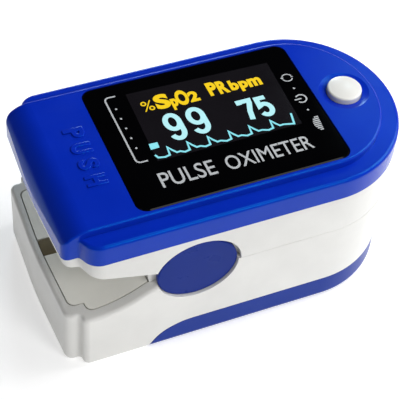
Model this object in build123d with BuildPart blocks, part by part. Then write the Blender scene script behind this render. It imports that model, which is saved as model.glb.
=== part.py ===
"""Fingertip pulse oximeter: two sprung jaws that clip onto a fingertip.

Units are millimetres. +X points to the mouth that the finger enters, -X to the push
tongues that are pinched to open it, +Z is up. The origin is the centre of the base.
"""
import os

from build123d import *

# ---- driving dimensions -------------------------------------------------------------
LENGTH = 65.2
NOSE, TAIL = LENGTH / 2, -LENGTH / 2
NOSE_CX = 15.5                    # where the straight flanks turn into the elliptical nose
TAIL_BOW, BOW_R = 0.7, 100        # how far the tongue's end is bowed, and how gently
GAP = 0.12                        # general clearance between moulded pieces

COVER_HALF = 17.9                 # half width of the blue cover
BODY_HALF = 17.5                  # half width of the white jaws
COVER_Z = 26.7                    # cover's lower edge
LEDGE_Z = 31.0                    # cover's outer ledge
PLATEAU_Z = 32.4                  # raised plateau round the window
PLATEAU_HALF = 15.0
SHOULDER = -29.3                  # where the flanks end and the tongue begins
SLANT = 1.5                       # lean of the upper jaw's shoulders
COVER_TONGUE = 14.9
ROLL_R = 5.0                      # how the plateau rolls down over the tongue

HINGE_X, HINGE_Z = -9.4, 18.0     # hinge axis, along Y
SEAM = 0.03                       # half the gap between the closed jaws
RISE = 0.277                      # slope of the upper jaw's edge behind the hinge
UPPER_WALL, LOWER_WALL = 1.6, 1.8
SKIN = 1.5                        # thickness of the upper jaw's inner face

EAR_R, EAR_Y, EAR_T = 8.2, 14.8, 1.8      # lower jaw's hinge ears
LUG_R, LUG_Y, LUG_T = 3.4, 12.45, 2.3     # upper jaw's hinge lugs
PIN_R = 1.25
TROUGH_R = 4.4                    # room round the springs
COIL_R, WIRE_R, COIL_Y = 2.35, 0.4, 8.6

CAP_A, CAP_B, CAP_T = 7.1, 6.4, 0.8       # oval hinge caps: semi-axes and thickness
CAP_SINK = 0.4                    # how far a cap lies below the flank
CAP_GAP = 0.55                    # upper jaw's room round the caps, which it turns past

CHANNEL_A, CHANNEL_B = 8.2, 4.5   # finger channel: half width and half height
PAD_X0, PAD_X1, PAD_HALF = -1.0, 26.5, 9.6
PAD_BED = 12.8                    # underside of the lower pad
PAD_ROOF = 23.5                   # top of the upper pad

CELL_R, CELL_L = 5.25, 44.5       # two AAA cells side by side
CELL_Y, CELL_Z = 5.45, 6.75
BAY_X0, BAY_X1 = -22.6, 25.6

DOOR_H, DOOR_SKIN, DOOR_FLOOR = 5.0, 1.3, 1.4

WINDOW_X, WINDOW_L, WINDOW_W, WINDOW_T = -0.2, 37.6, 28.5, 1.2
WINDOW_TOP = 32.5
BUTTON_X, BUTTON_R, BUTTON_TOP = 24.0, 3.0, 33.45
BUTTON_TRAVEL = 0.5
BUTTON_DOME = 12.0                # radius of the button's crown
WELL_DISH, WELL_DEPTH = 15.0, 0.65  # radius and depth of the dish round the button
BOARD_Z, BOARD_T = 27.3, 1.0
SENSOR_X, SENSOR_R = 10.0, 2.6

SCREWS = [(x, side * 12.3) for x in (-22.5, 20.0) for side in (-1, 1)]
SCREW_SEAT = 23.4

pieces = {}


def finish(name, part):
    """Label a finished piece and keep it for export."""
    part.label = name
    pieces[name] = part


# ---- plans and side profiles --------------------------------------------------------
def jaw_plan(half, nose, tongue, tail, shoulder, tip_r, notch_r, shoulder_r, slant=0.0):
    """Plan of a jaw piece: elliptical nose, straight flanks, shoulders, narrower tongue."""
    root = tail + TAIL_BOW
    with BuildSketch() as plan:
        with BuildLine():
            FilletPolyline(
                (NOSE_CX, -half), (shoulder + slant, -half), (shoulder, -tongue), (root, -tongue),
                (tail, 0), (root, tongue), (shoulder, tongue), (shoulder + slant, half), (NOSE_CX, half),
                radius=[shoulder_r, notch_r, tip_r, BOW_R, tip_r, notch_r, shoulder_r])
            EllipticalCenterArc((NOSE_CX, 0), nose - NOSE_CX, half, start_angle=-90, arc_size=180)
        make_face()
    return plan.sketch


def cover_plan(inset=0.0):
    return jaw_plan(COVER_HALF - inset, NOSE - inset, COVER_TONGUE - inset, TAIL + inset,
                    SHOULDER + inset, 1.3 - 0.4 * inset, 0.9, 3.1 - 0.8 * inset, SLANT)


def upper_plan(inset=0.0):
    return jaw_plan(BODY_HALF - inset, NOSE - 0.2 - inset, 14.4 - inset, TAIL + 0.5 + inset,
                    SHOULDER + 0.4 + inset, 1.4, 0.8, 2.9, SLANT)


def lower_plan(inset=0.0):
    return jaw_plan(BODY_HALF - inset, NOSE - inset, 15.6 - inset, TAIL + 0.1 + inset,
                    SHOULDER + inset, 1.5, 0.6, 1.1)


def panel_plan(inset=0.0):
    """The lower jaw's rear opening, closed by the rear panel."""
    return jaw_plan(15.5 - inset, NOSE - 2, 13.6 - inset, -31.3 + inset, -28.1 + inset,
                    1.3, 0.4, 1.3)


def plateau_plan(inset=0.0):
    half, tail = PLATEAU_HALF - inset, TAIL + inset
    root = tail + TAIL_BOW
    with BuildSketch() as plan:
        with BuildLine():
            FilletPolyline((NOSE_CX, -half), (root, -half), (tail, 0), (root, half),
                           (NOSE_CX, half), radius=[1.3, BOW_R, 1.3])
            EllipticalCenterArc((NOSE_CX, 0), 13.7 - inset, half, start_angle=-90, arc_size=180)
        make_face()
    return plan.sketch


def rim_line(drop=0.0):
    """Lower jaw's upper edge behind the hinge, from the hinge to the tail."""
    Line((HINGE_X, HINGE_Z - SEAM - drop), (-16.4, 16.35 - drop))
    Spline((-16.4, 16.35 - drop), (-19.6, 14.85 - drop), (-23.0, 13.4 - drop),
           (-26.6, 12.7 - drop), (-36.0, 12.8 - drop), tangents=[(-7.0, -1.9), (-1, 0)])


def lower_side(drop=0.0):
    """Side view of the lower jaw, with its rear edge lowered by drop."""
    with BuildSketch(Plane.XZ) as side:
        with BuildLine():
            rim_line(drop)
            Polyline((-36.0, 12.8 - drop), (-36.0, -1), (36, -1), (36, HINGE_Z - SEAM),
                     (HINGE_X, HINGE_Z - SEAM))
            if drop:
                Line((HINGE_X, HINGE_Z - SEAM), (HINGE_X, HINGE_Z - SEAM - drop))
        make_face()
    return side.sketch


def upper_side(lift=0.0, top=COVER_Z):
    """Side view of the upper jaw, with its lower edge raised by lift."""
    base = HINGE_Z + SEAM + lift
    with BuildSketch(Plane.XZ) as side:
        with BuildLine():
            Polyline((36, base), (HINGE_X, base), (-36, base + RISE * (HINGE_X + 36) + 0.2),
                     (-36, top), (36, top), close=True)
        make_face()
    return side.sketch


def door_side(grow=0.0):
    """Side view of the battery door: a strip whose rear end curves down to the base."""
    with BuildSketch(Plane.XZ) as side:
        with BuildLine():
            Spline((-17.6 - grow, 0), (-16.6 - grow, 1.9 + grow), (-14.8 - grow, 3.6 + grow),
                   (-12.0, 4.75 + grow), (-9.0, DOOR_H + grow), tangents=[(0.2, 1), (1, 0)])
            Polyline((-9.0, DOOR_H + grow), (36, DOOR_H + grow), (36, -1), (-17.6 - grow, -1),
                     (-17.6 - grow, 0))
        make_face()
    return side.sketch


# ---- lower jaw ----------------------------------------------------------------------
with BuildPart() as lower_blank:
    with BuildSketch():
        add(lower_plan())
    extrude(amount=HINGE_Z + 2)
    fillet(lower_blank.faces().sort_by(Axis.Z)[0].edges(), 1.2)

with BuildPart() as door_room:
    with BuildSketch(Plane.XY.offset(-1)):
        add(lower_plan(-1))
    extrude(amount=8)
    with BuildSketch(Plane.XZ):
        add(door_side(GAP))
    extrude(amount=20, both=True, mode=Mode.INTERSECT)
    with BuildSketch(Plane.XY.offset(DOOR_FLOOR + GAP)):
        add(lower_plan(DOOR_SKIN + GAP))
    extrude(amount=8, mode=Mode.SUBTRACT)

with BuildPart() as rear_room:
    with BuildSketch():
        add(panel_plan())
    extrude(amount=HINGE_Z)
    with BuildSketch(Plane.XZ):
        add(lower_side(1.5))
    extrude(amount=20, both=True, mode=Mode.SUBTRACT)

with BuildPart() as lower_housing:
    add(lower_blank.part)
    with BuildSketch(Plane.XZ):
        add(lower_side())
    extrude(amount=20, both=True, mode=Mode.INTERSECT)
    # soft outer edge of the rim behind the hinge
    rim = lower_housing.edges().filter_by(
        lambda e: e.center().Z > 12 and e.center().X < -17 and e.bounding_box().size.Z < 2.6
        and e.bounding_box().size.Y < 32)
    fillet(rim, 0.6)
    add(door_room.part, mode=Mode.SUBTRACT)
    add(rear_room.part, mode=Mode.SUBTRACT)
    # battery bay, open to the door
    bay_mid, bay_len = (BAY_X0 + BAY_X1) / 2, BAY_X1 - BAY_X0
    with Locations((bay_mid, 0, (DOOR_FLOOR + CELL_Z) / 2)):
        Box(bay_len, 4 * CELL_Y, CELL_Z - DOOR_FLOOR, mode=Mode.SUBTRACT)
    with Locations((BAY_X1 - 21.5, 0, 1)):
        Box(43, 4 * CELL_Y, 3, mode=Mode.SUBTRACT)
    with Locations(*[(bay_mid, side * CELL_Y, CELL_Z) for side in (-1, 1)]):
        Cylinder(CELL_Y, bay_len, rotation=(0, 90, 0), mode=Mode.SUBTRACT)
    # hollow flanks, and a hollow tail below the rear panel
    with Locations(*[(7, side * 13.7, 8) for side in (-1, 1)]):
        Box(20, 2.8, 13.5, mode=Mode.SUBTRACT)
    with Locations((-27.3, 0, 6.2)):
        Box(6.2, 22, 9.6, mode=Mode.SUBTRACT)
    # bed of the finger pad and the way in through the nose
    with Locations(((PAD_X0 + PAD_X1) / 2, 0, PAD_BED + 4)):
        Box(PAD_X1 - PAD_X0, 2 * PAD_HALF, 8, mode=Mode.SUBTRACT)
    with BuildSketch(Plane.YZ.offset(PAD_X1 - 1)):
        with Locations((0, HINGE_Z)):
            Ellipse(CHANNEL_A, CHANNEL_B)
    extrude(amount=8, taper=-4, mode=Mode.SUBTRACT)
    with Locations((SENSOR_X, 0, PAD_BED)):
        Box(6.4, 6.4, 1.0, mode=Mode.SUBTRACT)
    # trough for the springs and lugs, then the hinge ears
    with Locations((HINGE_X, 0, HINGE_Z)):
        Cylinder(TROUGH_R, 2 * (EAR_Y - EAR_T / 2), rotation=(90, 0, 0), mode=Mode.SUBTRACT)
    with Locations(*[(HINGE_X, side * EAR_Y, HINGE_Z) for side in (-1, 1)]):
        Cylinder(EAR_R, EAR_T, rotation=(90, 0, 0))
    # seats of the oval caps and the pin's bore
    for side in (-1, 1):
        with BuildSketch(Plane.XZ.offset(side * (BODY_HALF - CAP_T - CAP_SINK))):
            with Locations((HINGE_X, HINGE_Z)):
                Ellipse(CAP_A + 0.1, CAP_B + 0.1)
        extrude(amount=side * 3, mode=Mode.SUBTRACT)
    with Locations(*[(HINGE_X, side * 16.2, HINGE_Z) for side in (-1, 1)]):
        Cylinder(2.9, 1.0, rotation=(90, 0, 0), mode=Mode.SUBTRACT)
    with Locations((HINGE_X, 0, HINGE_Z)):
        Cylinder(PIN_R, 2 * BODY_HALF, rotation=(90, 0, 0), mode=Mode.SUBTRACT)
    # grooves that the door's rails run in
    with Locations(*[(3.5, side * 15.9, 3.0) for side in (-1, 1)]):
        Box(32, 0.8, 1.2, mode=Mode.SUBTRACT)
finish("lower_housing", lower_housing.part)

with BuildPart() as battery_door:
    add(lower_blank.part)
    with BuildSketch(Plane.XZ):
        add(door_side())
    extrude(amount=20, both=True, mode=Mode.INTERSECT)
    with BuildSketch(Plane.XY.offset(DOOR_FLOOR)):
        add(lower_plan(DOOR_SKIN))
    extrude(amount=8, mode=Mode.SUBTRACT)
    with Locations(*[(3, side * 16.0, 3.0) for side in (-1, 1)]):
        Box(20, 0.5, 0.8)
    # thumb grip: short grooves across the floor
    with GridLocations(1.8, 0, 5, 1):
        with Locations((20, 0, 0)):
            Box(0.8, 12, 0.8, mode=Mode.SUBTRACT)
finish("battery_door", battery_door.part)

with BuildPart() as rear_panel:
    with BuildSketch():
        add(panel_plan(0.2))
    extrude(amount=HINGE_Z)
    with BuildSketch(Plane.XZ):
        add(lower_side(0.05))
    extrude(amount=20, both=True, mode=Mode.INTERSECT)
    with BuildSketch(Plane.XZ):
        add(lower_side(1.45))
    extrude(amount=20, both=True, mode=Mode.SUBTRACT)
    with Locations((20 + HINGE_X - 4.7, 0, 15)):
        Box(40, 40, 20, mode=Mode.SUBTRACT)
    with Locations(*[(HINGE_X, side * (EAR_Y + 0.2), HINGE_Z) for side in (-1, 1)]):
        Cylinder(EAR_R + 0.2, 2.6, rotation=(90, 0, 0), mode=Mode.SUBTRACT)
    with Locations((-28.6, 0, 12.7)):
        Box(5.0, 3.8, 1.4, mode=Mode.SUBTRACT)
finish("rear_panel", rear_panel.part)

with BuildPart() as tail_bumper:
    with Locations((-28.6, 0, 12.3)):
        Box(4.9, 3.7, 0.5)
    fillet(tail_bumper.edges().filter_by(Axis.Z), 0.4)
finish("tail_bumper", tail_bumper.part)


def finger_pad(z_low, z_high):
    """Soft lining of one half of the finger channel, with a hole for the sensor window."""
    with BuildPart() as pad:
        with Locations(((PAD_X0 + PAD_X1) / 2, 0, (z_low + z_high) / 2)):
            Box(PAD_X1 - PAD_X0 - 0.1, 2 * PAD_HALF - 0.1, z_high - z_low)
        fillet(pad.edges().filter_by(Axis.Z), 0.8)
        with BuildSketch(Plane.YZ.offset(PAD_X0 + 1.4)):
            with Locations((0, HINGE_Z)):
                Ellipse(CHANNEL_A, CHANNEL_B)
        extrude(amount=40, mode=Mode.SUBTRACT)
        with Locations((SENSOR_X, 0, HINGE_Z)):
            Cylinder(SENSOR_R + 0.05, 14, mode=Mode.SUBTRACT)
    return pad.part


finish("lower_finger_pad", finger_pad(PAD_BED, HINGE_Z - SEAM - 0.1))
finish("upper_finger_pad", finger_pad(HINGE_Z + SEAM + 0.1, PAD_ROOF))

with BuildPart() as sensor_window:
    with Locations((SENSOR_X, 0, HINGE_Z - CHANNEL_B - 0.2)):
        Cylinder(SENSOR_R, 0.5)
finish("sensor_window", sensor_window.part)

with BuildPart() as sensor_board:
    with Locations((SENSOR_X, 0, PAD_BED - 0.25)):
        Box(6.0, 6.0, 0.5)
    with Locations((SENSOR_X, 0, PAD_BED + 0.1)):
        Box(2.6, 2.6, 0.2)
finish("sensor_board", sensor_board.part)

# ---- cells and contacts -------------------------------------------------------------
CELL_A_X = (-20.3 + 24.2) / 2          # the cell whose cap points to the nose
CELL_B_X = (-21.9 + 22.6) / 2          # the cell whose cap points to the tail


def cell(x_mid, y, way):
    """An AAA cell along X with its positive cap towards way (+1 nose, -1 tail)."""
    with BuildPart() as battery:
        with Locations((x_mid - way * 0.4, y, CELL_Z)):
            Cylinder(CELL_R, CELL_L - 0.8, rotation=(0, 90, 0))
        fillet(battery.edges().filter_by(GeomType.CIRCLE), 0.5)
        with Locations((x_mid + way * (CELL_L / 2 - 0.6), y, CELL_Z)):
            Cylinder(1.9, 1.2, rotation=(0, 90, 0))
    return battery.part


def cell_spring(x_from, way, y):
    """Conical contact spring, three coils narrowing towards the cell."""
    for i, radius in enumerate((3.2, 2.6, 2.0)):
        with Locations((x_from + way * (0.28 + 0.43 * i), y, CELL_Z)):
            Torus(radius, 0.35, rotation=(0, 90, 0))
    with Locations((x_from + way * 0.6, y, CELL_Z)):
        Box(1.3, 0.46, 6.1)


finish("battery_left", cell(CELL_A_X, -CELL_Y, 1))
finish("battery_right", cell(CELL_B_X, CELL_Y, -1))

with BuildPart() as contact_minus:
    with Locations((-22.2, -CELL_Y, CELL_Z)):
        Box(0.4, 9.0, 5.6)
    cell_spring(-22.0, 1, -CELL_Y)
finish("contact_minus", contact_minus.part)

with BuildPart() as contact_plus:
    with Locations((-22.2, CELL_Y, CELL_Z)):
        Box(0.4, 9.0, 5.6)
finish("contact_plus", contact_plus.part)

with BuildPart() as contact_bridge:
    with Locations((24.6, 0, CELL_Z)):
        Box(0.4, 19.4, 5.4)
    with Locations((24.6, 0, CELL_Z + 1.5)):
        Box(0.4, 2.0, 3.0, mode=Mode.SUBTRACT)
    cell_spring(24.4, -1, CELL_Y)
finish("contact_bridge", contact_bridge.part)

# ---- hinge --------------------------------------------------------------------------
with BuildPart() as hinge_pin:
    with Locations((HINGE_X, 0, HINGE_Z)):
        Cylinder(PIN_R, 2 * (EAR_Y + EAR_T / 2), rotation=(90, 0, 0))
    chamfer(hinge_pin.edges().filter_by(GeomType.CIRCLE), 0.2)
finish("hinge_pin", hinge_pin.part)


def torsion_coil(side):
    """Close-wound coil round the pin with a leg that bears on the lower jaw."""
    with BuildPart() as coil:
        for i in range(5):
            with Locations((HINGE_X, side * (COIL_Y + 0.7 * (i - 2)), HINGE_Z)):
                Torus(COIL_R, WIRE_R, rotation=(90, 0, 0))
        with Locations((HINGE_X - 1.7, side * (COIL_Y - 1.4), HINGE_Z - COIL_R + 0.1)):
            Cylinder(WIRE_R - 0.05, 3.4, rotation=(0, 90, 0))
    return coil.part


def torsion_arm(side):
    """Last turn of the spring, with the leg that bears on the upper jaw."""
    with BuildPart() as arm:
        with Locations((HINGE_X, side * (COIL_Y + 2.3), HINGE_Z)):
            Torus(COIL_R, WIRE_R - 0.02, rotation=(90, 0, 0))
        with Locations((HINGE_X - 1.7, side * (COIL_Y + 2.3), HINGE_Z + COIL_R - 0.1)):
            Cylinder(WIRE_R - 0.07, 3.4, rotation=(0, 90, 0))
    return arm.part


def side_cap(side):
    """Oval cap let into the flank over the end of the pin, with a stub onto the ear."""
    face = BODY_HALF - CAP_SINK
    with BuildPart() as cap:
        with BuildSketch(Plane.XZ.offset(-side * (face - CAP_T))):
            with Locations((HINGE_X, HINGE_Z)):
                Ellipse(CAP_A, CAP_B)
        extrude(amount=-side * CAP_T)
        outer = cap.faces().sort_by(Axis.Y)[-1 if side > 0 else 0]
        fillet(outer.edges(), 0.25)
        stub = face - CAP_T - (EAR_Y + EAR_T / 2)
        with Locations((HINGE_X, side * (face - CAP_T - stub / 2), HINGE_Z)):
            Cylinder(2.5, stub, rotation=(90, 0, 0))
    return cap.part


for side, word in ((-1, "left"), (1, "right")):
    finish(f"torsion_coil_{word}", torsion_coil(side))
    finish(f"torsion_arm_{word}", torsion_arm(side))
    finish(f"side_cap_{word}", side_cap(side))

# ---- upper jaw ----------------------------------------------------------------------
with BuildPart() as upper_room:
    with BuildSketch(Plane.XY.offset(HINGE_Z)):
        add(upper_plan(UPPER_WALL))
    extrude(amount=12)
    with BuildSketch(Plane.XZ):
        add(upper_side(SKIN, 40))
    extrude(amount=20, both=True, mode=Mode.INTERSECT)

with BuildPart() as upper_housing:
    with BuildSketch(Plane.XY.offset(HINGE_Z)):
        add(upper_plan())
    extrude(amount=COVER_Z - HINGE_Z)
    with BuildSketch(Plane.XZ):
        add(upper_side())
    extrude(amount=20, both=True, mode=Mode.INTERSECT)
    add(upper_room.part, mode=Mode.SUBTRACT)
    # box that holds the finger pad, carried on to the nose
    with BuildSketch(Plane.XY.offset(HINGE_Z + SEAM)) as box_plan:
        add(upper_plan(0.4))
        with Locations((20 + PAD_X0 - 1.5, 0)):
            Rectangle(40, 2 * PAD_HALF + 3, mode=Mode.INTERSECT)
    extrude(amount=PAD_ROOF + 1.2 - HINGE_Z - SEAM)
    # posts for the screws
    with Locations(*[(x, y, (HINGE_Z + COVER_Z) / 2) for x, y in SCREWS]):
        Cylinder(2.7, COVER_Z - HINGE_Z)
    with BuildSketch(Plane.XZ):
        add(upper_side())
    extrude(amount=20, both=True, mode=Mode.INTERSECT)
    with Locations(*[(x, y, SCREW_SEAT - 4) for x, y in SCREWS]):
        Cylinder(2.05, 8, mode=Mode.SUBTRACT)
    with Locations(*[(x, y, SCREW_SEAT + 2) for x, y in SCREWS]):
        Cylinder(1.1, 8, mode=Mode.SUBTRACT)
    # seat of the pad and the way in through the nose
    with Locations(((PAD_X0 + PAD_X1) / 2, 0, PAD_ROOF - 4)):
        Box(PAD_X1 - PAD_X0, 2 * PAD_HALF, 8, mode=Mode.SUBTRACT)
    with BuildSketch(Plane.YZ.offset(PAD_X1 - 1)):
        with Locations((0, HINGE_Z)):
            Ellipse(CHANNEL_A, CHANNEL_B)
    extrude(amount=8, taper=-4, mode=Mode.SUBTRACT)
    with Locations((SENSOR_X, 0, PAD_ROOF + 1)):
        Box(6.4, 6.4, 2.4, mode=Mode.SUBTRACT)
    # room for the lower jaw's ears and the springs, then the lugs on the pin
    with Locations(*[(HINGE_X, side * EAR_Y, HINGE_Z) for side in (-1, 1)]):
        Cylinder(EAR_R + 0.3, 2 * (BODY_HALF - UPPER_WALL - EAR_Y), rotation=(90, 0, 0),
                 mode=Mode.SUBTRACT)
    with Locations((HINGE_X, 0, HINGE_Z)):
        Cylinder(TROUGH_R, 2 * (LUG_Y + LUG_T / 2), rotation=(90, 0, 0), mode=Mode.SUBTRACT)
    with Locations(*[(HINGE_X, side * LUG_Y, HINGE_Z) for side in (-1, 1)]):
        Cylinder(LUG_R, LUG_T, rotation=(90, 0, 0))
    with Locations(*[(HINGE_X, side * LUG_Y, HINGE_Z + 3) for side in (-1, 1)]):
        Box(6, LUG_T, 5.6)
    with Locations((HINGE_X, 0, HINGE_Z)):
        Cylinder(PIN_R + 0.05, 28, rotation=(90, 0, 0), mode=Mode.SUBTRACT)
    # clearance of the oval caps
    for side in (-1, 1):
        with BuildSketch(Plane.XZ.offset(side * (BODY_HALF - CAP_T - CAP_SINK - 0.1))):
            with Locations((HINGE_X, HINGE_Z)):
                Ellipse(CAP_A + CAP_GAP, CAP_B + CAP_GAP)
        extrude(amount=side * 3, mode=Mode.SUBTRACT)
    with Locations(*[(HINGE_X, side * 16.2, HINGE_Z) for side in (-1, 1)]):
        Cylinder(2.9, 1.0, rotation=(90, 0, 0), mode=Mode.SUBTRACT)
finish("upper_housing", upper_housing.part)

with BuildPart() as cover_cavity:
    with BuildSketch(Plane.XY.offset(COVER_Z - 1)):
        add(cover_plan(1.5))
    extrude(amount=LEDGE_Z - 1.3 - COVER_Z + 1)
    with BuildSketch(Plane.XY.offset(COVER_Z)):
        add(plateau_plan(1.5))
        with Locations((7, 0)):
            Rectangle(66, 40, mode=Mode.INTERSECT)
    extrude(amount=PLATEAU_Z - 1.5 - COVER_Z)

with BuildPart() as top_cover:
    with BuildSketch(Plane.XY.offset(COVER_Z)):
        add(cover_plan())
    extrude(amount=LEDGE_Z - COVER_Z)
    fillet(top_cover.faces().sort_by(Axis.Z)[-1].edges(), 0.6)
    with BuildSketch(Plane.XY.offset(COVER_Z)):
        add(plateau_plan())
    extrude(amount=PLATEAU_Z - COVER_Z)
    # the plateau rolls down over the tongue
    with BuildSketch(Plane.XZ) as roll:
        with Locations(((36 + TAIL) / 2, (COVER_Z + PLATEAU_Z) / 2)):
            Rectangle(36 - TAIL, PLATEAU_Z - COVER_Z)
        fillet(roll.vertices().group_by(Axis.X)[0].sort_by(Axis.Y)[-1:], ROLL_R)
    extrude(amount=20, both=True, mode=Mode.INTERSECT)
    fillet(top_cover.faces().filter_by(Axis.Z).sort_by(Axis.Z)[-1].edges().filter_by(
        lambda e: e.center().X > TAIL + ROLL_R + 0.1), 0.35)
    add(cover_cavity.part, mode=Mode.SUBTRACT)
    # bosses that the screws bite into
    with Locations(*[(x, y, (COVER_Z + LEDGE_Z - 1) / 2) for x, y in SCREWS]):
        Cylinder(2.4, LEDGE_Z - 1 - COVER_Z)
    with Locations(*[(x, y, COVER_Z + 1.2) for x, y in SCREWS]):
        Cylinder(1.0, 2.6, mode=Mode.SUBTRACT)
    # window seat with its through opening
    with BuildSketch(Plane.XY.offset(WINDOW_TOP - WINDOW_T)):
        with Locations((WINDOW_X, 0)):
            RectangleRounded(WINDOW_L + 0.16, WINDOW_W + 0.16, 2.0)
    extrude(amount=3, mode=Mode.SUBTRACT)
    with Locations((WINDOW_X, 0, 30)):
        Box(WINDOW_L - 3, WINDOW_W - 3, 6, mode=Mode.SUBTRACT)
    # dished well and bore of the button
    with Locations((BUTTON_X, 0, PLATEAU_Z - WELL_DEPTH + WELL_DISH)):
        Sphere(WELL_DISH, mode=Mode.SUBTRACT)
    with Locations((BUTTON_X, 0, 30)):
        Cylinder(BUTTON_R + GAP, 8, mode=Mode.SUBTRACT)
finish("top_cover", top_cover.part)

with BuildPart() as display_window:
    with BuildSketch(Plane.XY.offset(WINDOW_TOP - WINDOW_T)):
        with Locations((WINDOW_X, 0)):
            RectangleRounded(WINDOW_L, WINDOW_W, 1.9)
    extrude(amount=WINDOW_T)
    chamfer(display_window.faces().sort_by(Axis.Z)[-1].edges(), 0.2)
finish("display_window", display_window.part)

with BuildPart() as oled_display:
    with Locations((WINDOW_X, 0, 29.7)):
        Box(32, 22, 1.4)
    with Locations((WINDOW_X - 1, 0, 30.55)):
        Box(27, 16, 0.3)
finish("oled_display", oled_display.part)

with BuildPart() as main_board:
    with BuildSketch(Plane.XY.offset(BOARD_Z)):
        with Locations((2, 0)):
            RectangleRounded(52, 18.6, 3)
    extrude(amount=BOARD_T)
finish("main_board", main_board.part)

with BuildPart() as controller_chip:
    with Locations((-2, 0, BOARD_Z - 0.6)):
        Box(9, 9, 1.2)
    with GridLocations(0, 10, 1, 2):
        with Locations((-2, 0, BOARD_Z - 0.2)):
            Box(8, 1.4, 0.4)
finish("controller_chip", controller_chip.part)

with BuildPart() as buzzer:
    with Locations((-18, 0, BOARD_Z - 0.9)):
        Cylinder(3.4, 1.8)
    with Locations((-18, 0, BOARD_Z - 1.7)):
        Cylinder(0.7, 0.6, mode=Mode.SUBTRACT)
finish("buzzer", buzzer.part)

with BuildPart() as tact_switch:
    with Locations((BUTTON_X, 0, BOARD_Z + BOARD_T + 0.45)):
        Box(4.5, 4.5, 0.9)
    with Locations((BUTTON_X, 0, BOARD_Z + BOARD_T + 1.05)):
        Cylinder(1.1, 0.3)
finish("tact_switch", tact_switch.part)

with BuildPart() as power_button:
    with Locations((BUTTON_X, 0, 30.45)):
        Cylinder(BUTTON_R + 0.5, 0.6)
    with Locations((BUTTON_X, 0, (30.7 + BUTTON_TOP) / 2)):
        Cylinder(BUTTON_R, BUTTON_TOP - 30.7)
    # domed crown with a rounded edge
    with Locations((BUTTON_X, 0, BUTTON_TOP - BUTTON_DOME)):
        Sphere(BUTTON_DOME, mode=Mode.INTERSECT)
    crown = power_button.edges().filter_by(lambda e: e.length > 6 * BUTTON_R).sort_by(Axis.Z)[-1:]
    fillet(crown, 0.35)
finish("power_button", power_button.part)

with BuildPart() as emitter_window:
    with Locations((SENSOR_X, 0, HINGE_Z + CHANNEL_B + 0.45)):
        Cylinder(SENSOR_R, 0.9)
finish("emitter_window", emitter_window.part)

with BuildPart() as emitter_board:
    with Locations((SENSOR_X, 0, PAD_ROOF + 0.4)):
        Box(6.0, 6.0, 0.6)
    with Locations((SENSOR_X, 0, PAD_ROOF - 0.0)):
        Box(1.8, 1.8, 0.2)
finish("emitter_board", emitter_board.part)

with BuildPart() as flex_lead:
    with Locations((SENSOR_X + 2.4, 0, (PAD_ROOF + 0.7 + BOARD_Z) / 2)):
        Box(0.2, 3.0, BOARD_Z - PAD_ROOF - 0.7)
finish("flex_lead", flex_lead.part)


def screw(x, y):
    """Pan-head screw, head down, with a cross slot."""
    with BuildPart() as one:
        with Locations((x, y, SCREW_SEAT - 0.6)):
            Cylinder(1.9, 1.2)
        fillet(one.edges().filter_by(GeomType.CIRCLE).sort_by(Axis.Z)[:1], 0.5)
        with Locations((x, y, SCREW_SEAT + 2.25)):
            Cylinder(1.0, 4.5)
        with Locations((x, y, SCREW_SEAT - 1.0)):
            Box(2.2, 0.5, 0.8, mode=Mode.SUBTRACT)
            Box(0.5, 2.2, 0.8, mode=Mode.SUBTRACT)
    return one.part


for number, (x, y) in enumerate(SCREWS, start=1):
    finish(f"cover_screw_{number}", screw(x, y))

os.makedirs("parts", exist_ok=True)
for name, part in pieces.items():
    export_step(part, f"parts/{name}.step")
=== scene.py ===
import math
import bpy
import bmesh
from mathutils import Matrix, Vector


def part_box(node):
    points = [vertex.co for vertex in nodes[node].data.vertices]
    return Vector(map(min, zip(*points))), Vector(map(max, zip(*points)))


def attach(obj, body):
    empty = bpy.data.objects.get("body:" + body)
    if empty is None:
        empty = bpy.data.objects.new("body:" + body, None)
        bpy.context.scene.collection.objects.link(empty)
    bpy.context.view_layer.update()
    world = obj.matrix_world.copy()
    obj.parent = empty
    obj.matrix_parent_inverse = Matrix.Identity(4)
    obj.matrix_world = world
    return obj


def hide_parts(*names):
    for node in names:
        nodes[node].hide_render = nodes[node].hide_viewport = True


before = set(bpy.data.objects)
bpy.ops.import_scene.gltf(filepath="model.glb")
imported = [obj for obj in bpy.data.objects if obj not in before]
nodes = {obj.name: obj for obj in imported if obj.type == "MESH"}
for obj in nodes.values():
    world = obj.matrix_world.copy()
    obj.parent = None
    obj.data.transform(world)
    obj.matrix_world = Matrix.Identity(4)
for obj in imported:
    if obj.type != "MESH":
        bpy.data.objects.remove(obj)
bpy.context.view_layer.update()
MM = 0.001


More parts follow.
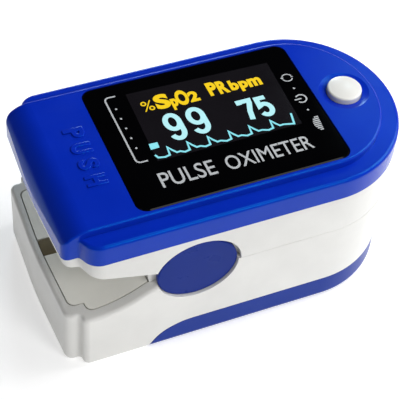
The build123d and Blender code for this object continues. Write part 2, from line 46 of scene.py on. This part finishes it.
# ---- materials ----------------------------------------------------------------------
class Mat:
    """A principled material with procedural colour, roughness and bump."""

    def __init__(self, name, colour, rough=0.4, **sockets):
        self.m = bpy.data.materials.new(name)
        self.m.use_nodes = True
        self.t = self.m.node_tree
        self.b = self.t.nodes["Principled BSDF"]
        self.b.inputs["Base Color"].default_value = (*colour, 1)
        self.b.inputs["Roughness"].default_value = rough
        for key, value in sockets.items():
            self.b.inputs[key.replace("_", " ")].default_value = value
        self.colour, self.rough = colour, rough
        self.coord = self.t.nodes.new("ShaderNodeTexCoord").outputs["Object"]
        self.normal = None

    def node(self, kind, **values):
        n = self.t.nodes.new(kind)
        for key, value in values.items():
            if key in n.inputs:
                n.inputs[key].default_value = value
            else:
                setattr(n, key, value)
        return n

    def noise(self, size, detail=3.0, stretch=(1, 1, 1)):
        """Noise whose features are about size mm across."""
        mapping = self.node("ShaderNodeMapping")
        mapping.inputs["Scale"].default_value = stretch
        self.t.links.new(self.coord, mapping.inputs["Vector"])
        n = self.node("ShaderNodeTexNoise", Scale=1 / (size * MM), Detail=detail)
        self.t.links.new(mapping.outputs["Vector"], n.inputs["Vector"])
        return n.outputs["Fac"]

    def vary(self, fac, low, high):
        """Colour runs between low and high times the base colour along fac."""
        ramp = self.node("ShaderNodeValToRGB")
        ramp.color_ramp.elements[0].position, ramp.color_ramp.elements[1].position = 0.3, 0.7
        for e, k in zip(ramp.color_ramp.elements, (low, high)):
            e.color = (*[min(1, c * k) for c in self.colour], 1)
        self.t.links.new(fac, ramp.inputs["Fac"])
        self.t.links.new(ramp.outputs["Color"], self.b.inputs["Base Color"])
        return self

    def rub(self, fac, low, high):
        """Roughness runs between low and high along fac."""
        r = self.node("ShaderNodeMapRange")
        r.inputs["To Min"].default_value, r.inputs["To Max"].default_value = low, high
        r.inputs["From Min"].default_value, r.inputs["From Max"].default_value = 0.3, 0.7
        self.t.links.new(fac, r.inputs["Value"])
        self.t.links.new(r.outputs["Result"], self.b.inputs["Roughness"])
        return self

    def bump(self, fac, strength, depth):
        n = self.node("ShaderNodeBump", Strength=strength, Distance=depth * MM)
        self.t.links.new(fac, n.inputs["Height"])
        if self.normal:
            self.t.links.new(self.normal, n.inputs["Normal"])
        self.normal = n.outputs["Normal"]
        self.t.links.new(self.normal, self.b.inputs["Normal"])
        return self


def plastic(name, colour, rough, grain=0.25, grain_depth=0.01, spread=0.04, **sockets):
    """Moulded plastic: fine spark-eroded grain, faint flow marks, handling sheen."""
    m = Mat(name, colour, rough, **sockets)
    m.vary(m.noise(9, 4), 1 - spread, 1 + spread)
    m.rub(m.noise(3.5, 5), rough * 0.85, min(1, rough * 1.2))
    m.bump(m.noise(grain, 2), 0.35, grain_depth)
    return m


def metal(name, colour, rough, size=0.15, stretch=(1, 1, 1)):
    m = Mat(name, colour, rough, Metallic=1.0)
    m.vary(m.noise(2.2, 4), 0.85, 1.08)
    m.rub(m.noise(size, 4, stretch), rough * 0.7, min(1, rough * 1.4))
    m.bump(m.noise(size, 3, stretch), 0.25, 0.01)
    return m


WHITE = plastic("white_shell", (0.71, 0.705, 0.68), 0.42, IOR=1.5)
# rear panel: the warm tone is its own colour; its brightness above the shell's white is painted light
# that lifts the shade under the cover
PANEL_WHITE_PAINTED_LIGHT = plastic("white_panel_painted_light", (0.86, 0.85, 0.79), 0.5, IOR=1.5)
BLUE = plastic("cover_blue", (0.002, 0.021, 0.40), 0.19, grain_depth=0.003, spread=0.05, IOR=1.5,
               Specular_IOR_Level=0.3, Specular_Tint=(0.0, 0.65, 1.0, 1))
BLUE_CAP = plastic("cap_blue", (0.004, 0.018, 0.20), 0.3, grain_depth=0.005, spread=0.04, IOR=1.5,
                   Specular_IOR_Level=0.12, Specular_Tint=(0.3, 0.7, 1.0, 1))
BLUE_DOOR = plastic("door_blue", (0.008, 0.030, 0.26), 0.33, grain_depth=0.005, spread=0.04, IOR=1.5,
                    Specular_IOR_Level=0.14, Specular_Tint=(0.3, 0.7, 1.0, 1))
BUTTON = plastic("button_white", (0.72, 0.715, 0.68), 0.22, grain=0.4, grain_depth=0.003,
                 spread=0.02, IOR=1.5, Coat_Weight=0.3, Coat_Roughness=0.08)
LENS = plastic("lens_black", (0.0008, 0.0008, 0.0011), 0.06, grain=1.2, grain_depth=0.001,
               spread=0.2, IOR=1.49, Specular_IOR_Level=0.05)
PANEL = plastic("display_glass", (0.0065, 0.0055, 0.0072), 0.1, grain=1.2, grain_depth=0.001,
                spread=0.15, IOR=1.49)
# dark olive-brown pad colour: painted shade of a deep slot at the tail
SLOT_SHADE_PAD = plastic("pad_painted_slot_shade", (0.14, 0.11, 0.055), 0.75, grain=0.35, grain_depth=0.05, spread=0.25)
CHIP = plastic("chip_epoxy", (0.014, 0.014, 0.015), 0.55, grain=0.2, grain_depth=0.02)
FLEX = plastic("flex_film", (0.42, 0.19, 0.025), 0.3, spread=0.1)
STEEL = metal("steel", (0.58, 0.58, 0.6), 0.3, 0.2, (1, 6, 1))
NICKEL = metal("nickel", (0.72, 0.69, 0.62), 0.24, 0.3)


def board_material():
    m = Mat("solder_mask", (0.012, 0.13, 0.045), 0.3, IOR=1.5, Coat_Weight=0.3, Coat_Roughness=0.1)
    tracks = m.node("ShaderNodeTexBrick", Scale=1 / (6 * MM))
    tracks.inputs["Mortar Size"].default_value = 0.03
    tracks.inputs["Color1"].default_value = (0.012, 0.13, 0.045, 1)
    tracks.inputs["Color2"].default_value = (0.010, 0.105, 0.038, 1)
    tracks.inputs["Mortar"].default_value = (0.03, 0.24, 0.09, 1)
    m.t.links.new(m.coord, tracks.inputs["Vector"])
    m.t.links.new(tracks.outputs["Color"], m.b.inputs["Base Color"])
    m.bump(m.noise(0.4, 3), 0.3, 0.02)
    m.rub(m.noise(1.0, 3), 0.25, 0.4)
    return m


def cell_material():
    """Foil jacket with a dark and a copper band, bare metal at both ends."""
    m = Mat("cell_jacket", (0.03, 0.03, 0.035), 0.3, Coat_Weight=0.5, Coat_Roughness=0.08)
    low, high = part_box("battery_left")
    split = m.node("ShaderNodeSeparateXYZ")
    m.t.links.new(m.coord, split.inputs["Vector"])
    along = m.node("ShaderNodeMapRange")
    along.inputs["From Min"].default_value, along.inputs["From Max"].default_value = low[0], high[0]
    m.t.links.new(split.outputs["X"], along.inputs["Value"])
    ramp = m.node("ShaderNodeValToRGB")
    ramp.color_ramp.interpolation = "CONSTANT"
    stops = ((0, (0.5, 0.48, 0.45)), (0.03, (0.025, 0.025, 0.03)), (0.66, (0.55, 0.24, 0.06)),
             (0.965, (0.5, 0.48, 0.45)))
    ramp.color_ramp.elements[0].color = (*stops[0][1], 1)
    ramp.color_ramp.elements[1].position = stops[1][0]
    ramp.color_ramp.elements[1].color = (*stops[1][1], 1)
    for pos, col in stops[2:]:
        ramp.color_ramp.elements.new(pos).color = (*col, 1)
    m.t.links.new(along.outputs["Result"], ramp.inputs["Fac"])
    m.t.links.new(ramp.outputs["Color"], m.b.inputs["Base Color"])
    m.rub(m.noise(2, 3), 0.22, 0.38)
    m.bump(m.noise(3, 2), 0.3, 0.02)
    return m


def silicone_material():
    m = Mat("silicone", (0.55, 0.565, 0.575), 0.62, IOR=1.42, Sheen_Weight=0.25,
            Subsurface_Weight=0.15, Subsurface_Scale=0.002)
    m.vary(m.noise(5, 4), 0.9, 1.06)
    m.rub(m.noise(1.5, 4), 0.5, 0.75)
    m.bump(m.noise(0.35, 3), 0.4, 0.03)
    return m


def clear_material(name, colour):
    m = Mat(name, colour, 0.08, IOR=1.5, Coat_Weight=0.6, Coat_Roughness=0.03)
    m.vary(m.noise(2.5, 2), 0.7, 1.25)
    m.bump(m.noise(1.5, 2), 0.2, 0.01)
    return m


PIXEL_ROW = 0.9                     # spacing of the lit rows, in mm


def glow(name, colour, power):
    """Lit display pixels: fine row structure in the brightness."""
    m = Mat(name, colour, 0.2)
    rows = m.node("ShaderNodeTexWave", Scale=1 / (PIXEL_ROW * MM), Distortion=0.0)
    rows.bands_direction = "Y"
    m.t.links.new(m.coord, rows.inputs["Vector"])
    ramp = m.node("ShaderNodeValToRGB")
    ramp.color_ramp.elements[0].color = (*[c * 0.72 for c in colour], 1)
    ramp.color_ramp.elements[1].color = (*colour, 1)
    ramp.color_ramp.elements[1].position = 0.45
    m.t.links.new(rows.outputs["Color"], ramp.inputs["Fac"])
    m.t.links.new(ramp.outputs["Color"], m.b.inputs["Emission Color"])
    m.b.inputs["Base Color"].default_value = (*[c * 0.05 for c in colour], 1)
    m.b.inputs["Emission Strength"].default_value = power
    return m


BOARD, CELL, SILICONE = board_material(), cell_material(), silicone_material()
RED_WINDOW = clear_material("window_red", (0.22, 0.012, 0.012))
DARK_WINDOW = clear_material("window_dark", (0.03, 0.02, 0.03))
PRINT = plastic("white_print", (0.43, 0.44, 0.45), 0.3, spread=0.05, Specular_IOR_Level=0.3)
DIGITS = glow("pixels_pale", (0.50, 0.92, 0.97), 1.0)
TRACE = glow("pixels_cyan", (0.28, 0.84, 0.94), 1.0)
YELLOW = glow("pixels_yellow", (0.97, 0.66, 0.010), 1.0)

FINISH = {
    "lower_housing": WHITE, "upper_housing": WHITE, "rear_panel": PANEL_WHITE_PAINTED_LIGHT,
    "tail_bumper": SLOT_SHADE_PAD, "battery_door": BLUE_DOOR, "top_cover": BLUE,
    "side_cap_left": BLUE_CAP, "side_cap_right": BLUE_CAP, "display_window": LENS,
    "oled_display": PANEL, "power_button": BUTTON, "main_board": BOARD, "sensor_board": BOARD,
    "emitter_board": BOARD, "controller_chip": CHIP, "buzzer": CHIP, "tact_switch": CHIP,
    "flex_lead": FLEX, "battery_left": CELL, "battery_right": CELL, "contact_minus": NICKEL,
    "contact_plus": NICKEL, "contact_bridge": NICKEL, "hinge_pin": STEEL,
    "torsion_coil_left": STEEL, "torsion_coil_right": STEEL, "torsion_arm_left": STEEL,
    "torsion_arm_right": STEEL, "emitter_window": RED_WINDOW, "sensor_window": DARK_WINDOW,
    "cover_screw_1": STEEL, "cover_screw_2": STEEL, "cover_screw_3": STEEL, "cover_screw_4": STEEL,
}


def coat(obj, mat):
    obj.data.materials.clear()
    obj.data.materials.append(mat.m)


for name, mat in FINISH.items():
    coat(nodes[name], mat)


# ---- mesh helpers -------------------------------------------------------------------
def piece(name, mesh, mat, body, smooth=True):
    obj = bpy.data.objects.new(name, mesh)
    bpy.context.scene.collection.objects.link(obj)
    coat(obj, mat)
    mesh.polygons.foreach_set("use_smooth", [smooth] * len(mesh.polygons))
    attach(obj, body)
    return obj


def from_curve(obj):
    """The mesh of a curve or text object, which is then dropped."""
    bpy.context.view_layer.update()
    mesh = bpy.data.meshes.new_from_object(obj.evaluated_get(bpy.context.evaluated_depsgraph_get()))
    bpy.data.objects.remove(obj)
    return mesh


def letters(text, bold=0.0, thick=0.02, bevel=0.0, soft=0):
    curve = bpy.data.curves.new("text", "FONT")
    curve.body, curve.offset, curve.extrude = text, bold, thick
    curve.bevel_depth, curve.bevel_resolution = bevel, soft
    curve.resolution_u = 6
    obj = bpy.data.objects.new("text", curve)
    bpy.context.scene.collection.objects.link(obj)
    return from_curve(obj)


def fit(mesh, x, y, z, turn=False):
    """Scales letters into the ranges x, y and z, in mm; turned, they read towards -Y."""
    if turn:
        mesh.transform(Matrix.Rotation(-math.pi / 2, 4, "Z"))
    co = [v.co.copy() for v in mesh.vertices]
    low = [min(c[i] for c in co) for i in range(3)]
    high = [max(c[i] for c in co) for i in range(3)]
    for v, c in zip(mesh.vertices, co):
        v.co = [(a + (b - a) * (c[i] - low[i]) / max(high[i] - low[i], 1e-9)) * MM
                for i, (a, b) in enumerate((x, y, z))]
    return mesh


def ribbon(points, width, z, closed=False):
    """Flat mitred line through points in mm, from z[0] to z[1]."""
    bm = bmesh.new()
    n = len(points)
    rows = []
    for i, p in enumerate(points):
        p = Vector(p)
        a = Vector(points[i - 1]) if (i or closed) else None
        b = Vector(points[(i + 1) % n]) if (i < n - 1 or closed) else None
        d1 = (p - a).normalized() if a is not None else (b - p).normalized()
        d2 = (b - p).normalized() if b is not None else d1
        side = (d1 + d2)
        side = Vector((-side.y, side.x)).normalized() if side.length > 1e-6 else Vector((-d1.y, d1.x))
        reach = width / 2 / max(0.5, side.dot(Vector((-d1.y, d1.x))))
        rows.append([bm.verts.new((*((p + side * s * reach) * MM), h * MM))
                     for s, h in ((-1, z[0]), (1, z[0]), (1, z[1]), (-1, z[1]))])
    for i in range(n if closed else n - 1):
        a, b = rows[i], rows[(i + 1) % n]
        for k in range(4):
            bm.faces.new((a[k], a[(k + 1) % 4], b[(k + 1) % 4], b[k]))
    if not closed:
        bm.faces.new(rows[0])
        bm.faces.new(rows[-1][::-1])
    bmesh.ops.recalc_face_normals(bm, faces=bm.faces[:])
    mesh = bpy.data.meshes.new("ribbon")
    bm.to_mesh(mesh)
    bm.free()
    return mesh


def outline(points, z):
    """Closed flat plate over the outline points in mm, from z[0] to z[1]."""
    bm = bmesh.new()
    low = [bm.verts.new((p[0] * MM, p[1] * MM, z[0] * MM)) for p in points]
    high = [bm.verts.new((p[0] * MM, p[1] * MM, z[1] * MM)) for p in points]
    bm.faces.new(low)
    bm.faces.new(high)
    for i in range(len(points)):
        j = (i + 1) % len(points)
        bm.faces.new((low[i], low[j], high[j], high[i]))
    bmesh.ops.recalc_face_normals(bm, faces=bm.faces[:])
    mesh = bpy.data.meshes.new("plate")
    bm.to_mesh(mesh)
    bm.free()
    return mesh


def arc(cx, cy, r, start, end, steps=24, squeeze=1.0):
    return [(cx + r * math.cos(math.radians(start + (end - start) * i / steps)),
             cy + r * squeeze * math.sin(math.radians(start + (end - start) * i / steps)))
            for i in range(steps + 1)]


def join(meshes):
    bm = bmesh.new()
    for mesh in meshes:
        bm.from_mesh(mesh)
    out = bpy.data.meshes.new("joined")
    bm.to_mesh(out)
    bm.free()
    return out


# ---- printing and lit pixels on the lens --------------------------------------------
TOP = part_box("display_window")[1][2] / MM
INK = (TOP - 0.02, TOP + 0.02)
LIT = (TOP + 0.005, TOP + 0.03)

active = [(-12.3, -4.9), (13.6, -4.9), (14.2, 10.6), (-11.8, 11.2)]
piece("active_area", outline(active, (TOP - 0.02, TOP + 0.008)), PANEL, "upper_jaw",
      False)

labels = [("%", -10.3, -8.2, 6.2, 8.6), ("S", -7.9, -5.3, 5.9, 9.4), ("p", -5.3, -4.1, 5.0, 7.7),
          ("O", -4.2, -2.0, 5.6, 9.2), ("2", -2.0, -0.2, 5.8, 8.3), ("P", 1.75, 3.4, 6.1, 9.3),
          ("R", 3.5, 5.4, 6.0, 9.1), ("b", 5.65, 7.2, 6.1, 8.6), ("p", 7.35, 8.9, 5.4, 7.85),
          ("m", 8.95, 11.4, 5.9, 7.9)]
piece("measure_labels", join([fit(letters(c, 0.0 if c == "%" else 0.05), (x0, x1), (y0, y1), LIT)
                              for c, x0, x1, y0, y1 in labels]),
      YELLOW, "upper_jaw", False)


def digit_strokes(c, x0, x1, y0, y1, width):
    """A rounded display digit of even strokes in the box x0..x1, y0..y1."""
    def place(points):
        return [(x0 + width / 2 + (x1 - x0 - width) * u, y0 + width / 2 + (y1 - y0 - width) * v)
                for u, v in points]

    def bend(cx, cy, rx, ry, start, end, steps=20):
        return [(cx + rx * math.cos(math.radians(start + (end - start) * i / steps)),
                 cy + ry * math.sin(math.radians(start + (end - start) * i / steps)))
                for i in range(steps + 1)]
    if c == "9":
        strokes = [(bend(0.5, 0.70, 0.5, 0.30, 0, 345, 27), True),
                   ([(1, 0.72), (1, 0.5)] + bend(0.5, 0.30, 0.5, 0.30, 0, -155), False)]
    elif c == "7":
        strokes = [([(0, 0.86), (0, 1), (1, 1), (0.96, 0.86), (0.62, 0.45), (0.45, 0)], False)]
    else:
        strokes = [([(0.93, 1), (0.12, 1), (0.08, 0.56)]
                    + bend(0.48, 0.32, 0.52, 0.32, 125, -150), False)]
    return [ribbon(place(points), width, LIT, closed) for points, closed in strokes]


digits = [("9", -8.35, -5.15, -1.75, 4.65), ("9", -4.2, -0.9, -1.65, 4.7), ("7", 4.95, 7.75, -1.75, 3.6),
          ("5", 7.95, 10.8, -1.55, 3.4)]
piece("reading_digits", join([part for c, x0, x1, y0, y1 in digits
                              for part in digit_strokes(c, x0, x1, y0, y1, 0.92)]),
      DIGITS, "upper_jaw", False)

wave = [(-12.2, -3.5), (-11.9, -4.2)]
for start in (-9.9, -6.4, -2.75, 1.0, 4.7, 8.6):
    wave += [(start - 0.9, -4.45), (start, -4.25), (start + 0.2, -2.5), (start + 0.75, -3.4),
             (start + 1.3, -4.1), (start + 1.9, -4.05)]
wave += [(12.35, -4.5), (12.85, -2.1)]
square = [(-12.4, -2.2), (-10.9, -2.15), (-10.8, -0.95), (-12.3, -0.9)]
piece("pulse_trace", join([ribbon(wave, 0.34, LIT), outline(square, LIT)]), TRACE, "upper_jaw",
      False)

captions = [("PULSE", -13.5, -4.0, -10.65, -7.4), ("OXIMETER", -2.1, 13.3, -10.65, -7.6)]
piece("caption_print", join([fit(letters(t, 0.006), (x0, x1), (y0, y1), INK)
                             for t, x0, x1, y0, y1 in captions]),
      PRINT, "upper_jaw", False)

bracket = ([(-13.6, 11.35)] + arc(-14.8, 10.6, 0.8, 90, 180, 6) + arc(-14.8, -3.45, 0.8, 180, 270, 6)
           + [(-13.7, -4.25)])
marks = [ribbon(bracket, 0.3, INK)]
marks += [outline(arc(-14.5, 8.42 - 2.37 * i, 0.2, 0, 345, 11), INK) for i in range(5)]
marks += [outline(arc(15.97, y, 0.2, 0, 345, 11), INK) for y in (3.23, -2.29)]
# turn-over sign: two half rings with arrow heads
turn_x, turn_y, turn_r, flat = 15.95, 6.0, 0.9, 0.95
for flip in (0, 180):
    marks.append(ribbon(arc(turn_x, turn_y, turn_r, 15 + flip, 160 + flip, 14, flat), 0.2, INK))
    tip = math.radians(170 + flip)
    ax, ay = turn_x + turn_r * math.cos(tip), turn_y + 0.86 * math.sin(tip)
    point = ay - 0.35 * math.cos(math.radians(flip))
    marks.append(outline([(ax - 0.3, ay + 0.1), (ax + 0.3, ay + 0.1), (ax, point)], INK))
# power sign, its bar towards the display
marks.append(ribbon(arc(16.05, 0.55, 0.92, -140, 140, 22), 0.27, INK))
marks.append(ribbon([(14.85, 0.55), (16.1, 0.55)], 0.27, INK))
# striped fingertip sign
for i in range(8):
    y = -4.25 - 0.42 * i
    reach = 1.5 * math.sqrt(max(0.05, 1 - ((i - 3.7) / 4.3) ** 2))
    left, right_end = 16.9 - reach, 16.9 - 0.05 * i
    marks.append(outline([(left, y - 0.13), (right_end, y - 0.13), (right_end, y + 0.13),
                          (left, y + 0.13)], INK))
piece("icon_print", join(marks), PRINT, "upper_jaw", False)

# raised word on the push tongue
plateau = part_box("top_cover")[1][2] / MM
push = [("P", 6.6, 4.3), ("U", 3.0, 0.7), ("S", -0.7, -2.9), ("H", -4.3, -6.6)]
piece("push_word", join([fit(letters(c, 0.02, 0.03, 0.03, 2), (-24.7, -21.2), (y1, y0),
                             (plateau - 0.08, plateau + 0.2), True)
                         for c, y0, y1 in push]), BLUE, "upper_jaw")


# ---- soft pads ----------------------------------------------------------------------
def smooth(t):
    t = max(0.0, min(1.0, t))
    return t * t * (3 - 2 * t)


def closed_loft(rows):
    """Closed mesh through rows of points, each row a closed loop, with a fan at both ends."""
    bm = bmesh.new()
    loops = [[bm.verts.new([c * MM for c in p]) for p in row] for row in rows]
    n = len(loops[0])
    for a, b in zip(loops, loops[1:]):
        for k in range(n):
            bm.faces.new((a[k], a[(k + 1) % n], b[(k + 1) % n], b[k]))
    for end in (loops[0], loops[-1]):
        bm.faces.new(end)
    bmesh.ops.recalc_face_normals(bm, faces=bm.faces[:])
    bmesh.ops.triangulate(bm, faces=[f for f in bm.faces if len(f.verts) > 4], ngon_method="EAR_CLIP")
    mesh = bpy.data.meshes.new("loft")
    bm.to_mesh(mesh)
    bm.free()
    return mesh


def round_off(points, passes):
    """Corner-cut loop, which turns hard corners into soft ones."""
    for _ in range(passes):
        points = [tuple(u * a + (1 - u) * b for a, b in zip(p, q))
                  for p, q in zip(points, points[1:] + points[:1]) for u in (0.75, 0.25)]
    return points


SPLIT = 18.0                        # height of the jaws' meeting plane
CHANNEL_HALF, CHANNEL_DEEP = 8.2, 4.5   # half width of the finger channel, depth in each jaw
COLLAR_R, HOLE_R = 3.35, 2.66       # raised ring and hole at the sensor


def finger_liner(name, node, body, side, sensor_x):
    """Soft half of the finger channel: thick lips, grip ribs and a collar round the sensor."""
    low, high = [[c / MM for c in corner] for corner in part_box(node)]
    bed, crest = (low[2], high[2]) if side < 0 else (high[2], low[2])
    half = high[1]
    rows = []
    steps = 76
    for i in range(steps + 1):
        x = low[0] + (high[0] - low[0]) * i / steps
        wall = math.sqrt(max(0.0, 1 - (1 - max(0.0, min(1.0, (x - low[0] - 1.3) / 2.2))) ** 2))
        ends = [max(0.0, 1 - d / 0.7) for d in (x - low[0], high[0] - x)]
        pinch = 0.45 * (1 - math.sqrt(max(0.0, 1 - max(ends) ** 2)))
        flare = 0.55 * smooth(1 - (high[0] - x) / 2.5)
        rib = 0.16 * max(0.0, math.cos(2 * math.pi * (x - 14.2) / 1.9)) ** 3 if 13.4 < x < 24.4 else 0.0
        loop = []
        for k in range(33):
            y = -CHANNEL_HALF * math.cos(math.pi * k / 32)
            deep = CHANNEL_DEEP * math.sqrt(max(0.0, 1 - (y / CHANNEL_HALF) ** 2)) * wall
            away = math.hypot(x - sensor_x, y)
            collar = 0.22 * math.exp(-((away - COLLAR_R) / 0.5) ** 2)
            fade = smooth(deep / 1.5)
            deep += (flare - rib - collar) * fade + pinch * 0.8
            z = SPLIT + side * deep
            z = min(z, crest) if side < 0 else max(z, crest)
            loop.append((y, z))
        flank = half - pinch
        loop += [(flank, crest + side * pinch), (flank, (crest + bed) / 2), (flank, bed - side * pinch),
                 (half * 0.5, bed - side * pinch), (-half * 0.5, bed - side * pinch),
                 (-flank, bed - side * pinch), (-flank, (crest + bed) / 2),
                 (-flank, crest + side * pinch)]
        rows.append([(x, y, z) for y, z in round_off(loop, 2)])
    obj = bpy.data.objects.new(name, closed_loft(rows))
    bpy.context.scene.collection.objects.link(obj)
    # the sensor's hole
    bm = bmesh.new()
    bmesh.ops.create_cone(bm, cap_ends=True, segments=48, radius1=HOLE_R * MM, radius2=HOLE_R * MM,
                          depth=14 * MM)
    bmesh.ops.translate(bm, verts=bm.verts[:], vec=(sensor_x * MM, 0, SPLIT * MM))
    punch_mesh = bpy.data.meshes.new("punch")
    bm.to_mesh(punch_mesh)
    bm.free()
    punch = bpy.data.objects.new("punch", punch_mesh)
    bpy.context.scene.collection.objects.link(punch)
    cut = obj.modifiers.new("hole", "BOOLEAN")
    cut.operation, cut.object, cut.solver = "DIFFERENCE", punch, "EXACT"
    mesh = from_curve(obj)
    bpy.data.objects.remove(punch)
    pad = piece(name, mesh, SILICONE, body)
    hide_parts(node)
    return pad


window_low, window_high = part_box("sensor_window")
sensor_x = (window_low[0] + window_high[0]) / 2 / MM
finger_liner("lower_liner", "lower_finger_pad", "lower_jaw", -1, sensor_x)
finger_liner("upper_liner", "upper_finger_pad", "upper_jaw", 1, sensor_x)


def shade_pad_block(name, node, body):
    """Crowned pad block with soft edges, flat where it is glued down; its brown colour is painted shade
    of a deep slot at the tail.
    """
    low, high = [[c / MM for c in corner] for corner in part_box(node)]
    cx, cy = (low[0] + high[0]) / 2, (low[1] + high[1]) / 2
    hx, hy, tall = (high[0] - low[0]) / 2, (high[1] - low[1]) / 2, high[2] - low[2]
    rows = []
    for j in range(13):
        t = j / 12
        drop = 0.0 if t < 0.25 else 1 - math.cos((t - 0.25) / 0.75 * math.pi / 2)
        grow = 1 - 0.30 * drop * drop
        z = low[2] + tall * math.sin(math.pi / 2 * min(1.0, t * 1.1)) ** 0.7
        ring = round_off([(cx + sx * hx * grow, cy + sy * hy * grow) for sx, sy in
                          ((-1, -0.8), (-0.85, -1), (0, -1), (0.85, -1), (1, -0.8), (1, 0), (1, 0.8),
                           (0.85, 1), (0, 1), (-0.85, 1), (-1, 0.8), (-1, 0))], 2)
        rows.append([(x, y, z) for x, y in ring])
    block = piece(name, closed_loft(rows), SLOT_SHADE_PAD, body)
    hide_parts(node)


shade_pad_block("tail_pad_painted_shade", "tail_bumper", "lower_jaw")


# ---- floor, light, camera -----------------------------------------------------------
def plane(name, centre, size):
    bm = bmesh.new()
    bmesh.ops.create_grid(bm, x_segments=8, y_segments=8, size=size)
    mesh = bpy.data.meshes.new(name)
    bm.to_mesh(mesh)
    bm.free()
    obj = bpy.data.objects.new(name, mesh)
    obj.location = centre
    bpy.context.scene.collection.objects.link(obj)
    return obj


floor_mat = Mat("floor_paper", (0.72, 0.72, 0.72), 0.9)
floor_mat.vary(floor_mat.noise(60, 3), 0.995, 1.005)
floor_mat.b.inputs["Emission Color"].default_value = (1, 1, 1, 1)
floor_mat.b.inputs["Emission Strength"].default_value = 0.5
floor = plane("floor", (0, 0, 0), 3.0)
coat(floor, floor_mat)


def area(name, at, size, power, tone=(1, 1, 1)):
    light = bpy.data.lights.new(name, "AREA")
    light.shape, light.size, light.energy, light.color = "DISK", size, power, tone
    obj = bpy.data.objects.new(name, light)
    obj.location = at
    aim = Vector((0, 0, 0.015)) - Vector(at)
    obj.rotation_euler = aim.to_track_quat("-Z", "Y").to_euler()
    bpy.context.scene.collection.objects.link(obj)


area("key", (0.22, -0.55, 0.50), 0.26, 1.85)
area("over", (0.15, 0.00, 0.50), 0.18, 0.5)
area("side", (0.17, 0.00, 0.17), 0.15, 0.32)
area("left", (-0.60, -0.20, 0.45), 0.35, 0.2)
area("back", (0.20, 0.55, 0.22), 0.2, 1.2, (0.7, 0.86, 1.0))
area("nose", (0.295, 0.330, 0.400), 0.11, 0.075, (0.7, 0.9, 1.0))

# white studio, dark high up behind, which keeps the glossy top deep, and dimmer at the tail's end
world = bpy.data.worlds.new("studio")
world.use_nodes = True
wt = world.node_tree
sky = wt.nodes.new("ShaderNodeTexCoord").outputs["Generated"]


def glance(direction, start, low, end, high):
    """Brightness that runs from low to high with the angle to a direction."""
    dot = wt.nodes.new("ShaderNodeVectorMath")
    dot.operation = "DOT_PRODUCT"
    dot.inputs[1].default_value = direction
    wt.links.new(sky, dot.inputs[0])
    ramp = wt.nodes.new("ShaderNodeMapRange")
    ramp.interpolation_type = "SMOOTHSTEP"
    for key, value in zip(("From Min", "From Max", "To Min", "To Max"), (start, end, low, high)):
        ramp.inputs[key].default_value = value
    wt.links.new(dot.outputs["Value"], ramp.inputs["Value"])
    return ramp.outputs["Result"]


both = wt.nodes.new("ShaderNodeMath")
both.operation = "MULTIPLY"
wt.links.new(glance((0.15, 0.60, 0.78), 0.55, 0.75, 0.92, 0.02), both.inputs[0])
wt.links.new(glance((1, 0, 0), -0.8, 0.1, 0.48, 0.8), both.inputs[1])
wt.links.new(both.outputs[0], wt.nodes["Background"].inputs["Strength"])
wt.nodes["Background"].inputs["Color"].default_value = (1, 1, 1, 1)
bpy.context.scene.world = world
bpy.context.scene.view_settings.view_transform = "Standard"

DISTANCE = 230.98                   # from the aim point to the lens, in mm
AIM = Vector((-1.76, 0, 16))
az, el, roll = math.radians(-26.53), math.radians(48.08), math.radians(5.19)
back = Vector((math.sin(az) * math.cos(el), -math.cos(az) * math.cos(el), math.sin(el)))
right = Vector((0, 0, 1)).cross(back).normalized()
up = back.cross(right)
lens_right = math.cos(roll) * right + math.sin(roll) * up
lens_up = -math.sin(roll) * right + math.cos(roll) * up
camera = bpy.data.cameras.new("camera")
camera.lens, camera.sensor_width = 118.8, 36
camera.shift_y = -0.021
camera.clip_start, camera.clip_end = 0.01, 10
shooter = bpy.data.objects.new("camera", camera)
spot = AIM * MM + back * DISTANCE * MM
turn = Matrix((lens_right, lens_up, back)).transposed()
shooter.matrix_world = Matrix.Translation(spot) @ turn.to_4x4()
bpy.context.scene.collection.objects.link(shooter)
bpy.context.scene.camera = shooter
